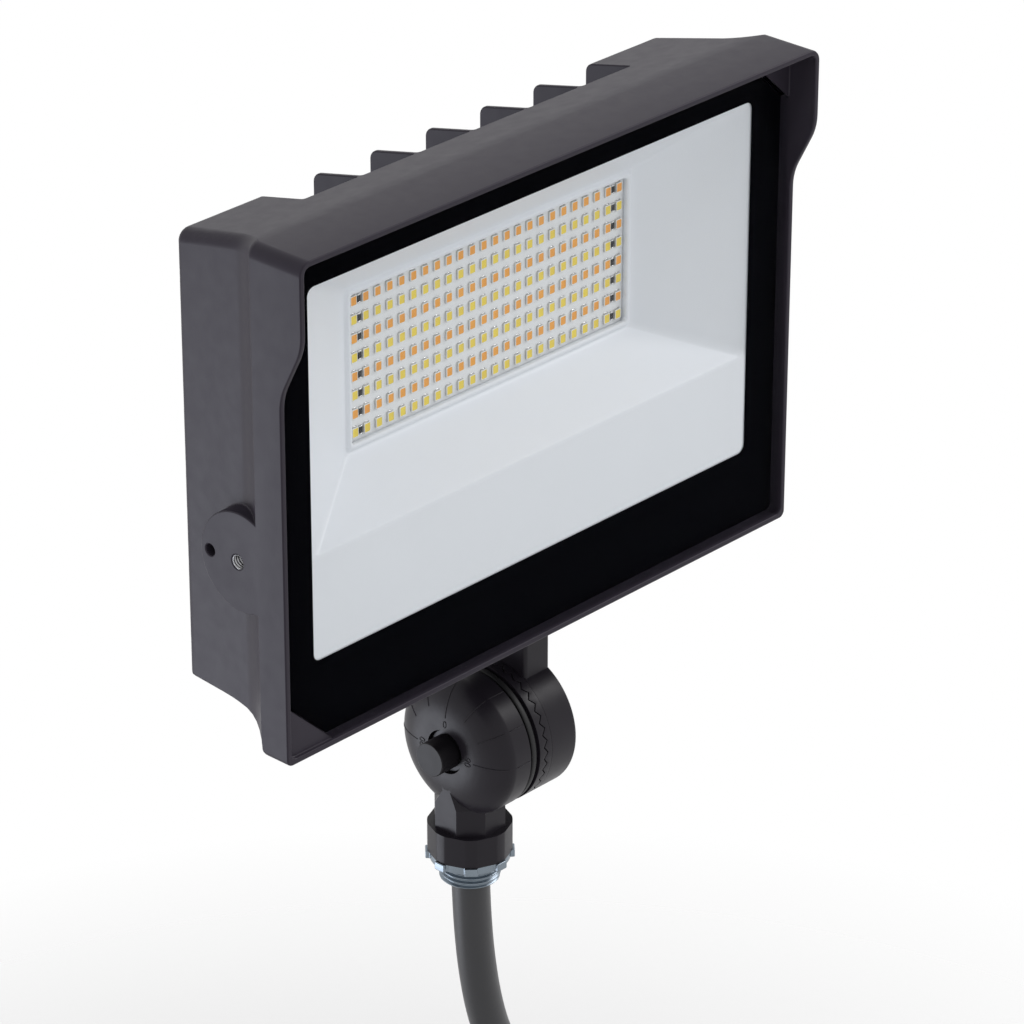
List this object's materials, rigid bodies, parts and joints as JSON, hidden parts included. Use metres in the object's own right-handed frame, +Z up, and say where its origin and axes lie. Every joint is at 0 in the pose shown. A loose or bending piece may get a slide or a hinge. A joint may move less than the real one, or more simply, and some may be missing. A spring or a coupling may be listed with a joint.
{
  "type": "led flood light",
  "caption": "Rectangular flood light head with hooded front glass, cooling fins and a toothed tilting knuckle on a threaded stem with supply cord.",
  "frame": {"origin": "stem axis at the lower face of the locknut, the plane that seats on a box or fitting", "axes": "+Z up the stem, front glass faces -Y, +X to the right seen from the front"},
  "size_m": [0.242, 0.0814, 0.5531],
  "materials": {
    "bronze_paint": "fine satin powder coat on die-cast aluminium",
    "black_plastic": "matte",
    "clear_glass": "polished",
    "black_print": "ceramic print",
    "rubber": "matte",
    "white_plastic": "satin white",
    "white_board": "white solder mask",
    "warm_phosphor": "phosphor in a white package",
    "cool_phosphor": "phosphor in a white package",
    "grey_silicone": "soft",
    "zinc_steel": "zinc plated",
    "dark_steel": "blackened",
    "driver_case": "moulded",
    "lead_insulation": "silicone insulation",
    "clear_plastic": "clear",
    "green_board": "solder mask",
    "cord_rubber": "satin rubber jacket",
    "black_insulation": "insulation",
    "white_insulation": "insulation",
    "green_insulation": "insulation",
    "copper": "bare copper strands"
  },
  "bodies": {
    "stem": {"knuckle_base": "bronze_paint", "knuckle_seal": "rubber", "stem_tooth_ring": "bronze_paint", "pivot_bolt": "zinc_steel", "pivot_washer": "zinc_steel", "bolt_cap": "black_plastic", "threaded_nipple": "zinc_steel", "locknut": "zinc_steel", "cord_grip": "rubber", "stem_leads": "lead_insulation", "supply_cord": "cord_rubber", "supply_cord_coil": "cord_rubber", "cord_tie": "black_plastic", "conductor_black": "black_insulation", "conductor_white": "white_insulation", "conductor_green": "green_insulation", "conductor_tips": "copper"},
    "head": {"housing": "bronze_paint", "lens_glass": "clear_glass", "lens_border": "black_print", "lens_gasket": "rubber", "reflector": "white_plastic", "led_board": "white_board", "warm_leds": "warm_phosphor", "cool_leds": "cool_phosphor", "board_resistors": "black_plastic", "board_screws": "zinc_steel", "board_connector": "white_plastic", "thermal_pad": "grey_silicone", "driver_case": "driver_case", "driver_screws": "zinc_steel", "board_leads": "lead_insulation", "supply_leads": "lead_insulation", "driver_leads": "lead_insulation", "splice_connectors": "clear_plastic", "rear_cover": "bronze_paint", "rear_cover_gasket": "rubber", "rear_cover_screws": "dark_steel", "selector_board": "green_board", "selector_switches": "black_plastic", "selector_board_screws": "zinc_steel", "knuckle_arm": "bronze_paint", "arm_gasket": "rubber", "arm_screws": "zinc_steel", "head_tooth_ring": "bronze_paint", "pivot_nut": "zinc_steel"},
    "colour_lever": {"colour_selector": "white_plastic"},
    "power_lever": {"power_selector": "white_plastic"},
    "plug": {"selector_plug": "rubber"}
  },
  "joints": [
    {"name": "head_tilt", "type": "hinge", "parent": "stem", "child": "head", "pos_m": [0, 0, 0.0455], "axis": [1, 0, 0], "range_deg": [-90, 90]},
    {"name": "colour_select", "type": "slide", "parent": "head", "child": "colour_lever", "axis": [1, 0, 0], "range_m": [-0.002, 0.002]},
    {"name": "power_select", "type": "slide", "parent": "head", "child": "power_lever", "axis": [1, 0, 0], "range_m": [-0.002, 0.002]},
    {"name": "plug_pull", "type": "slide", "parent": "head", "child": "plug", "axis": [0, 1, 0], "range_m": [0, 0.012]}
  ]
}
